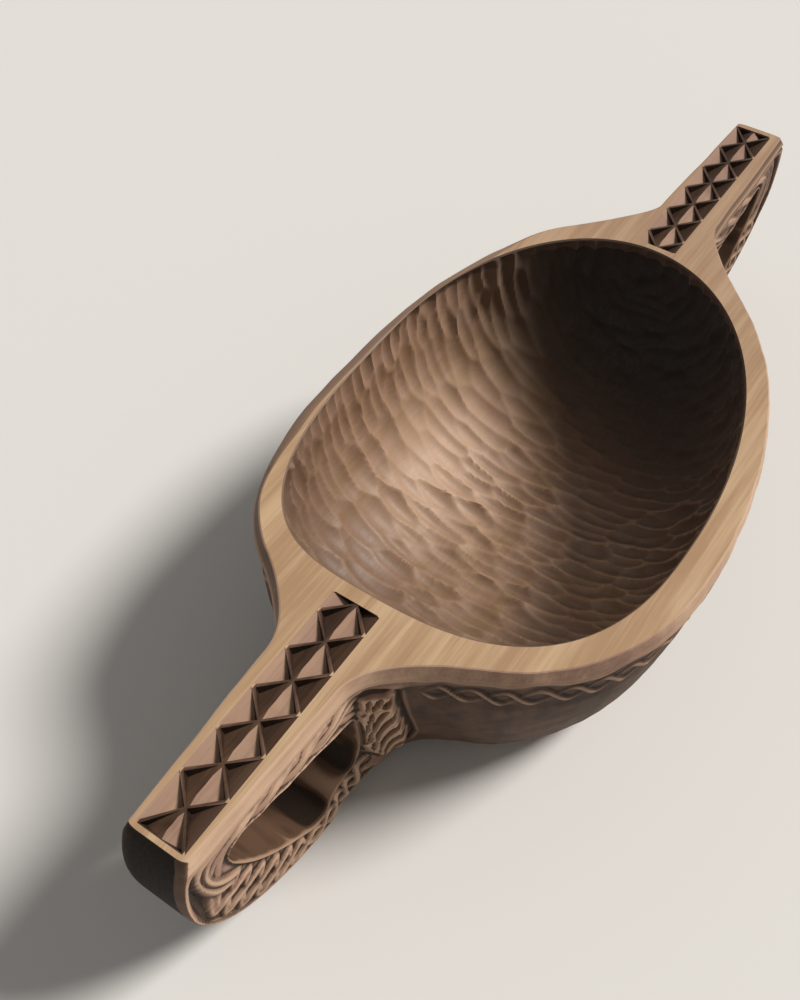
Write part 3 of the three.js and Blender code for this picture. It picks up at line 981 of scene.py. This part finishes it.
def side_form(billet, carvings, finish):
    """The billet seen from the side, with its handles' lower edges rounded and carved."""
    outer = billet.rim.left + billet.rim.right
    radius, overlap = 4.0, 0.3
    turns = np.linspace(0, math.pi / 2, 9)
    stations = [(1 - math.sin(turn), radius * (1 - math.cos(turn)) - overlap, turn) for turn in turns]
    stations.insert(0, (1, None, 0))
    height = billet.wall.height
    rounding = billet.both.edge_round / radius

    def ring(share, back, turn, side):
        lines = []
        for handle, carving in zip((billet.near, billet.far), carvings):
            line = even(billet.end_curve(handle, share / rounding), 230)
            half = outer
            if back is not None:
                half = billet.half_width(handle, line[:, 0], line[:, 1]) - back
                fade = 1 - 0.9 * turn / (math.pi / 2)
                carved = carving.height_at(line[:, 0], line[:, 1], side) * fade
                carved *= smooth(30, 44, line[:, 1])
                out = turned_right(np.gradient(line, axis=0))
                out *= np.sign(out[10, 0])
                line = line + out * (carved * math.sin(turn))[:, None]
                half = half + carved * math.cos(turn)
                half += np.minimum(np.interp(line[:, 1], *billet.strip_profile), 0)
            place = np.empty((len(line), 3))
            place[:, 0] = handle.end * line[:, 0]
            place[:, 1] = side * half + handle.shift
            place[:, 2] = height - line[:, 1]
            place[0, 2] = height + 1
            lines.append(place)
        return np.concatenate([lines[0], lines[1][::-1]])

    right = [ring(*station, -1) for station in stations]
    left = [ring(*station, 1) for station in stations[::-1]]
    between = [lerp(right[-1], left[0], share) for share in np.linspace(0, 1, 9)[1:-1]]
    return make_solid("side view", *loft(np.stack(right + between + left)), finish)


def recess_depths(mesh, place, normal):
    """How far each vertex lies under the eased surface round it, from -1 to 1."""
    longest, rounds, full_depth = 3, 10, 0.3
    count = len(place)
    ends = np.empty(len(mesh.edges) * 2, int)
    mesh.edges.foreach_get("vertices", ends)
    a, b = ends.reshape(-1, 2).T
    short = np.linalg.norm(place[a] - place[b], axis=1) < longest
    a, b = a[short], b[short]
    degree = np.maximum(np.bincount(np.concatenate([a, b]), minlength=count), 1)[:, None]
    eased = place.copy()
    for _ in range(rounds):
        total = [
            np.bincount(a, eased[b, k], minlength=count) + np.bincount(b, eased[a, k], minlength=count)
            for k in range(3)
        ]
        eased = np.where(degree > 1, (eased + np.stack(total, -1) / degree) / 2, eased)
    return np.clip(((eased - place) * normal).sum(1) / full_depth, -1, 1)


def mark_recess_and_handles(mesh, billet):
    """Keeps for the finishes how far each vertex lies in a recess and whether it is on a handle, with
    painted light on the right side's strip.
    """
    place, normal = np.empty((2, len(mesh.vertices) * 3))
    mesh.vertices.foreach_get("co", place)
    mesh.vertex_normals.foreach_get("vector", normal)
    place, normal = place.reshape(-1, 3), normal.reshape(-1, 3)
    x, y, z = place.T
    depth = billet.wall.height - z
    from_bowl = np.abs(x) - np.where(x < 0, billet.near.bowl, billet.far.bowl)
    from_bowl -= np.interp(depth, *SideCarving.bowl_edge)
    fade = lerp(34, 1, smooth(9, 13, depth))
    handle = smooth(-1, 1, (from_bowl + 0.5) / fade) * (1 - 0.5 * smooth(34, 58, depth))
    turned = smooth(0.15, 0.55, np.abs(normal[:, 0])) * (np.abs(x) > END_FROM)
    handle *= (1 - 0.95 * turned) * np.where(x > 0, lerp(0.2, 0.36, smooth(6, 9, depth)), 1)
    # Painted light: the strip on the right side, which faces the lamp, takes the handles' lighter
    # colours.
    right_edge = stretch((-66, -40), (70, 100), x) * (y < -20) * (1 - smooth(6.2, 6.8, depth))
    handle = np.maximum(handle, 0.9 * right_edge)
    for name, value in (("recess", recess_depths(mesh, place, normal)), ("handle", handle)):
        mesh.attributes.new(name, "FLOAT", "POINT").data.foreach_set("value", value.astype(np.float32))


def paint_faces(mesh, billet):
    """Gives the flat top, the handle ends and the chips' slopes their finishes, and returns the top;
    the ends get stain and painted shade, the slopes a lit or a shaded copy of one finish.
    """
    names = [material.name for material in mesh.materials]
    level, steep, along, end_on = 0.999, 0.12, 0.15, 0.5
    flat = []
    for face in mesh.polygons:
        name = names[face.material_index]
        x, y, z = face.center
        if face.normal.z > level and z > billet.wall.height - 0.01:
            face.material_index = names.index("sanded_top")
            flat.append(face.index)
        # The ends are near black, as stain and, on the near end facing away from the lamp, as painted
        # shade; the right corner keeps the lighter finish.
        elif name == "stained_under" and abs(x) > END_FROM and abs(face.normal.y) < end_on:
            handle = billet.far if x > 0 else billet.near
            if y - handle.shift > 3 - handle.tip_width / 2:
                face.material_index = names.index("stained_end")
        # Painted light and shade: chip faces that face right, towards the lamp, get a lighter copy of
        # the finish, and those that face left get a darker one.
        elif name == "chip_cut" and abs(face.normal.y) > steep and abs(face.normal.x) < along:
            face.material_index = names.index("chip_rubbed" if face.normal.y < 0 else "chip_slope")
    return flat


def finish_mesh(thing, angle):
    """Brings a solid to metres and shades it smooth except over sharp edges."""
    mesh = thing.data
    mesh.transform(Matrix.Scale(MM, 4))
    mesh.shade_smooth()
    mesh.set_sharp_from_angle(angle=angle)
    mesh.update()


# Materials


class Shade:
    """A socket that takes part in arithmetic, which adds its Math nodes."""

    def __init__(self, finish, socket):
        self.finish = finish
        self.socket = socket

    def math(self, operation, *values):
        return self.finish.add("ShaderNodeMath", {"operation": operation}, dict(enumerate(values)))

    def __add__(self, other):
        return self.math("ADD", self, other)

    __radd__ = __add__

    def __sub__(self, other):
        return self.math("SUBTRACT", self, other)

    def __rsub__(self, other):
        return self.math("SUBTRACT", other, self)

    def __mul__(self, other):
        return self.math("MULTIPLY", self, other)

    __rmul__ = __mul__


class Finish:
    """A node tree and the one way in which nodes are added to it."""

    def __init__(self, tree):
        self.tree = tree

    def add(self, kind, setup=None, values=None, output=0):
        """Adds a node and returns one of its outputs, or a list of them for a tuple of places."""
        node = self.tree.nodes.new(kind)
        for key, value in (setup or {}).items():
            setattr(node, key, value)
        for key, value in (values or {}).items():
            if isinstance(value, Shade):
                self.tree.links.new(value.socket, node.inputs[key])
            elif hasattr(value, "__len__") and len(value) == 3 and node.inputs[key].type == "RGBA":
                node.inputs[key].default_value = (*value, 1)
            else:
                node.inputs[key].default_value = value
        if isinstance(output, tuple):
            return [Shade(self, node.outputs[place]) for place in output]
        return Shade(self, node.outputs[output]) if node.outputs else None

    def mix(self, factor, a, b):
        """A colour between two colours."""
        setup = {"data_type": "RGBA"}
        return self.add("ShaderNodeMix", setup, {0: factor, 6: a, 7: b}, 2)

    def vector(self, operation, a, b, output=0):
        return self.add("ShaderNodeVectorMath", {"operation": operation}, {0: a, 1: b}, output)

    def noise(self, where, scales, detail=3, rough=0.5, distort=0):
        """Noise from 0 to 1, stretched by three scales."""
        moved = self.vector("MULTIPLY", where, scales)
        values = {"Detail": detail, "Roughness": rough, "Distortion": distort}
        return self.add("ShaderNodeTexNoise", None, {"Vector": moved, "Scale": 1, **values})

    def attribute(self, name):
        """A number that the mesh keeps for each vertex."""
        return self.add("ShaderNodeAttribute", {"attribute_name": name}, None, 2)

    def step(self, value, low, high):
        """0 below low, 1 above high and a soft step between them."""
        setup = {"interpolation_type": "SMOOTHSTEP"}
        return self.add("ShaderNodeMapRange", setup, {0: value, 1: low, 2: high})


def wood(
    name, tones, roughness=0.6, streaks=0.8, bump=0.4, sheen=0.15, on_bowl=None, blotch=0.5, wear_and_shade=1.0,
    darkened_along=None, hollow=None,
):
    """Oiled wood with its grain along X.

    The tones are its light, dark, recess and worn colours; the worn one also gives painted highlights.
    Away from the handles the light, dark and worn ones give way to those in on_bowl. The wood
    darkens along a direction, up to a share: painted shade on the strip's left side and on the
    hollow's right and far walls, and a darker tone on the flat top towards the far end.
    In the hollow, painted shade turns the far end almost black, up to a band just under the rim's
    height, and darkens the near end; the wood darkens above the rim's height, and a painted highlight
    lightens a patch of the floor.
    """
    material = bpy.data.materials.new(name)
    material.use_nodes = True
    material.node_tree.nodes.clear()
    finish = Finish(material.node_tree)
    light, dark, deep, worn = tones
    where = finish.add("ShaderNodeTexCoord", None, None, 3)
    broad = finish.noise(where, (9, 150, 110), rough=0.55, distort=0.3)
    fine = finish.noise(where, (30, 900, 700), rough=0.6)
    fibre = finish.noise(where, (60, 3200, 2600), detail=2, rough=0.6)
    patch = finish.noise(where, (24, 34, 34), distort=0.4)
    if on_bowl:
        handle = finish.attribute("handle")
        light, dark, worn = [finish.mix(handle, a, b) for a, b in zip(on_bowl, (light, dark, worn))]
    grain = finish.step(broad * 0.6 + fine * 0.4, 0.36, 0.66)
    grain = grain * streaks + (patch - 0.5) * (blotch * 2) + (0.5 - streaks / 2)
    shade = finish.mix(grain, dark, light)
    gloss = finish.step(fine, 0.3, 0.7) * 0.12 + (roughness - 0.06)
    if darkened_along:
        direction, share = darkened_along
        x, y, height = finish.add("ShaderNodeSeparateXYZ", None, {0: where}, (0, 1, 2))
        mottle = (patch - 0.5) * 0.03
        along = x * direction[0] + y * direction[1] + mottle
        # Painted shade on the strip's left side and the hollow's right and far walls; a darker tone on
        # the flat top towards the far end.
        shade = finish.mix(finish.step(along, 0, 0.1) * share, shade, deep)
    if hollow:
        soot_and_shade, rim = hollow
        # Painted light and shade in the hollow. The crest and recess tint is stronger on the shaded
        # right side, where it stands in for light on the marks, and none at the far end.
        far = finish.step(x, 0.0, 0.06)
        wear_and_shade = (finish.step(along, -0.03, 0.05) * 0.4 + wear_and_shade) * (1 - far)
        gloss = gloss + far * 0.3
        shade = finish.mix(finish.step(height, rim, rim + 0.002) * 0.5, shade, deep)
        # Painted shade: the near end darkens, and the far end turns almost black.
        shade = finish.mix(finish.step(x * -1 + mottle, 0.015, 0.09) * 0.55, shade, deep)
        shade = finish.mix(finish.step(x, 0.028, 0.094) * 0.92, shade, soot_and_shade)
        # At the far end a brown band just under the rim lightens the painted shade.
        band = finish.step(height, rim - 0.0018, rim - 0.001) * far
        shade = finish.mix(band, shade, deep)
        shade = finish.mix(band * 0.16, shade, light)
        # Painted highlight: a lighter patch low on the left of the floor.
        off = finish.vector("SUBTRACT", where, (0.004, 0.038, 0.02))
        off = finish.vector("LENGTH", finish.vector("MULTIPLY", off, (1, 1.3, 1)), (0, 0, 0), 1)
        shade = finish.mix(finish.step(off + mottle, 0.055, 0.01) * 0.55, shade, worn)
    if wear_and_shade:
        # Crests lighter, as wear and as painted highlight; recesses darker, as dirt and as painted
        # shade.
        recess = finish.attribute("recess")
        crest, dirt_and_shade = recess * -1, recess + (patch - 0.5) * 0.2
        shade = finish.mix(finish.step(crest, 0.15, 0.95) * (wear_and_shade * 0.7), shade, worn)
        shade = finish.mix(finish.step(dirt_and_shade, 0.1, 0.8) * (wear_and_shade * 0.85), shade, deep)
    pores = finish.step(fibre, 0.62, 0.74) * finish.step(patch, 0.35, 0.6)
    shade = finish.mix(pores * 0.3, shade, deep)
    rise = fine * 0.5 + fibre * 0.5
    normal = finish.add("ShaderNodeBump", None, {"Strength": bump, "Distance": 0.0004, "Height": rise})
    values = {"Base Color": shade, "Roughness": gloss, "Specular IOR Level": sheen, "Normal": normal}
    surface = finish.add("ShaderNodeBsdfPrincipled", None, values)
    finish.add("ShaderNodeOutputMaterial", None, {"Surface": surface})
    return material


class BOWL_OT_vessel(bpy.types.Operator):
    """Carve the vessel from its billet"""

    bl_idname = "bowl.vessel"
    bl_label = "Carve Vessel"
    bl_options = {"REGISTER", "UNDO"}

    def execute(self, context):
        tint = context.scene.bowl_colours
        bare = (tint.sanded, tint.streak, tint.strip, tint.sanded)
        cut_side = (tint.cut, tint.strip, tint.soot_and_shade, tint.worn)
        on_bowl = (tint.wall, tint.stain, tint.cut)
        edge = (tint.worn, tint.cut, tint.wall, tint.worn)
        edge_on_bowl = (tint.cut, tint.strip, tint.cut)
        end_stain_and_shade_tones = (tint.soot_and_shade, tint.soot_and_shade, tint.soot_and_shade, tint.strip)
        # The stain, the hollow's recess tone, is also the colour of most of its painted shade.
        gouged = (tint.hollow, tint.floor, tint.stain, tint.worn)
        in_slot = (tint.wall, tint.wall, tint.soot_and_shade, tint.cut)
        in_chip = (tint.stain, tint.soot_and_shade, tint.soot_and_shade, tint.strip)
        shaded_facet_tones = (tint.wall, tint.stain, tint.soot_and_shade, tint.strip)
        on_ridge = (tint.wall, tint.stain, tint.stain, tint.strip)
        # The flat top darkens towards the far end.
        top = wood(
            "sanded_top", bare, roughness=0.5, streaks=1.0, bump=0.25, sheen=0.25, wear_and_shade=0,
            darkened_along=((0.8, 0), 0.35),
        )
        side = wood("carved_side", cut_side, on_bowl=on_bowl)
        # Painted shade: the strip darkens towards the left side, away from the lamp.
        strip = wood("strip_bevel", edge, on_bowl=edge_on_bowl, wear_and_shade=0.6, darkened_along=((0, 1), 0.7))
        under = wood("stained_under", cut_side, on_bowl=on_bowl)
        # Near-black end faces: stain, and painted shade on the near end.
        end = wood("stained_end", end_stain_and_shade_tones, sheen=0.08)
        # Painted shade in the hollow: darker on its right and far walls, almost black at its far end.
        inside = wood(
            "gouged_hollow", gouged, roughness=0.54, sheen=0.42, wear_and_shade=0.15,
            darkened_along=((0.9, -1), 0.93), hollow=(tint.soot_and_shade, 0.0815),
        )
        # A dark tone inside the slots, partly the wood's stain and partly painted shade.
        slot_cut = wood("slot_cut", in_slot, streaks=0.5, blotch=0.1)
        chip = wood("chip_cut", in_chip, bump=0.3, sheen=0.06, wear_and_shade=0.25)
        # A lighter and a darker copy of the chips' finish, for faces towards and away from the lamp.
        lit_facet = wood("chip_rubbed", cut_side[:2] + edge[2:], streaks=0.65, bump=0.3, wear_and_shade=0.2)
        slope = wood("chip_slope", shaded_facet_tones, bump=0.3, sheen=0.06, wear_and_shade=0.4)
        ridge = wood("chip_ridge", on_ridge, bump=0.3)
        billet = Billet(context)
        slot = settings(context, "slot")
        carving = settings(context, "carving")
        opening = settings(context, "opening")
        carvings = [SideCarving(billet, handle, slot) for handle in (billet.near, billet.far)]
        vessel = billet_solid(billet, carvings, side, strip)
        combine(vessel, "INTERSECT", side_form(billet, carvings, under))
        combine(vessel, "DIFFERENCE", hollow_solid(context, inside))
        for seed, (handle, edge) in enumerate(((billet.near, opening.near), (billet.far, opening.far))):
            chips_end = edge + handle.chip_rim
            combine(vessel, "DIFFERENCE", slot_solid(billet, handle, slot, carving, slot_cut, seed))
            combine(vessel, "DIFFERENCE", chip_bed(billet, handle, chips_end, carving, ridge))
            combine(vessel, "DIFFERENCE", chip_solid(billet, handle, chips_end, carving, chip))
        mesh = vessel.data
        for material in (top, end, lit_facet, slope):
            mesh.materials.append(material)
        flat = paint_faces(mesh, billet)
        mark_recess_and_handles(mesh, billet)
        finish_mesh(vessel, math.radians(32))
        for index in flat:
            mesh.polygons[index].use_smooth = False
        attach(vessel, "root")
        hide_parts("vessel")
        return {"FINISHED"}


class BOWL_OT_stage(bpy.types.Operator):
    """Set up the floor, lights and camera"""

    bl_idname = "bowl.stage"
    bl_label = "Set Up Stage"
    bl_options = {"REGISTER", "UNDO"}

    def execute(self, context):
        stage = context.scene.bowl_stage
        size, dull, warm_white = 3, 0.8, (1.0, 0.97, 0.93)
        mesh = bpy.data.meshes.new("floor")
        corners = [(-size, -size, 0), (size, -size, 0), (size, size, 0), (-size, size, 0)]
        mesh.from_pydata(corners, [], [(0, 1, 2, 3)])
        floor = bpy.data.objects.new("floor", mesh)
        context.scene.collection.objects.link(floor)
        material = bpy.data.materials.new("plain_floor")
        material.use_nodes = True
        material.node_tree.nodes.clear()
        finish = Finish(material.node_tree)
        values = {"Base Color": tuple(stage.floor), "Roughness": dull}
        surface = finish.add("ShaderNodeBsdfPrincipled", None, values)
        finish.add("ShaderNodeOutputMaterial", None, {"Surface": surface})
        mesh.materials.append(material)

        world = bpy.data.worlds.new("studio")
        world.use_nodes = True
        world.node_tree.nodes.clear()
        finish = Finish(world.node_tree)
        straight, mirrored, through = finish.add("ShaderNodeLightPath", None, None, (0, 3, 6))
        seen = straight.math("MAXIMUM", straight.math("MAXIMUM", straight, mirrored), through)
        values = {"Color": tuple(stage.backdrop), "Strength": seen * (1 - stage.fill) + stage.fill}
        around = finish.add("ShaderNodeBackground", None, values)
        finish.add("ShaderNodeOutputWorld", None, {"Surface": around})
        context.scene.world = world

        lamp = bpy.data.lights.new("key", "SUN")
        lamp.angle = stage.key_spread
        lamp.energy = stage.key
        lamp.color = warm_white
        key = bpy.data.objects.new("key", lamp)
        context.scene.collection.objects.link(key)
        flat, turn = math.cos(stage.key_height), stage.key_turn
        towards = Vector((math.sin(turn) * flat, math.cos(turn) * flat, math.sin(stage.key_height)))
        key.rotation_euler = towards.to_track_quat("Z", "Y").to_euler()

        lens = bpy.data.cameras.new("camera")
        lens.lens = stage.lens
        lens.sensor_width = 36
        lens.clip_start = 0.01
        camera = bpy.data.objects.new("camera", lens)
        context.scene.collection.objects.link(camera)
        turn = Matrix.Rotation(stage.turn, 3, "Z")
        tilt = Matrix.Rotation(math.pi / 2 - stage.tilt, 3, "X")
        roll = Matrix.Rotation(stage.roll, 3, "Z")
        camera.matrix_world = Matrix.LocRotScale(Vector(stage.place), turn @ tilt @ roll, None)
        context.scene.camera = camera
        context.scene.view_settings.view_transform = "Standard"
        return {"FINISHED"}


class BOWL_PT_panel(bpy.types.Panel):
    """The bowl's operators and settings"""

    bl_idname = "BOWL_PT_panel"
    bl_label = "Drinking Bowl"
    bl_space_type = "VIEW_3D"
    bl_region_type = "UI"
    bl_category = "Bowl"

    def draw(self, context):
        layout = self.layout
        layout.operator("bowl.vessel")
        layout.operator("bowl.stage")
        for name, kind in GROUPS.items():
            box = layout.box()
            box.label(text=name.replace("_", " ").title())
            group = getattr(context.scene, "bowl_" + name)
            for key in kind.__annotations__:
                box.prop(group, key)


GROUPS = {
    "opening": OpeningSizes,
    "rim": RimSizes,
    "wall": WallSizes,
    "handles": HandleSizes,
    "near_handle": NearHandleSizes,
    "far_handle": FarHandleSizes,
    "slot": SlotSizes,
    "carving": CarvingSizes,
    "colours": WoodColours,
    "stage": StageSettings,
}
CLASSES = (*GROUPS.values(), BOWL_OT_vessel, BOWL_OT_stage, BOWL_PT_panel)


def register():
    for kind in CLASSES:
        bpy.utils.register_class(kind)
    for name, kind in GROUPS.items():
        setattr(bpy.types.Scene, "bowl_" + name, PointerProperty(type=kind))


def unregister():
    for name in GROUPS:
        delattr(bpy.types.Scene, "bowl_" + name)
    for kind in reversed(CLASSES):
        bpy.utils.unregister_class(kind)


def main():
    register()
    bpy.ops.bowl.vessel()
    bpy.ops.bowl.stage()


if __name__ == "__main__":
    main()
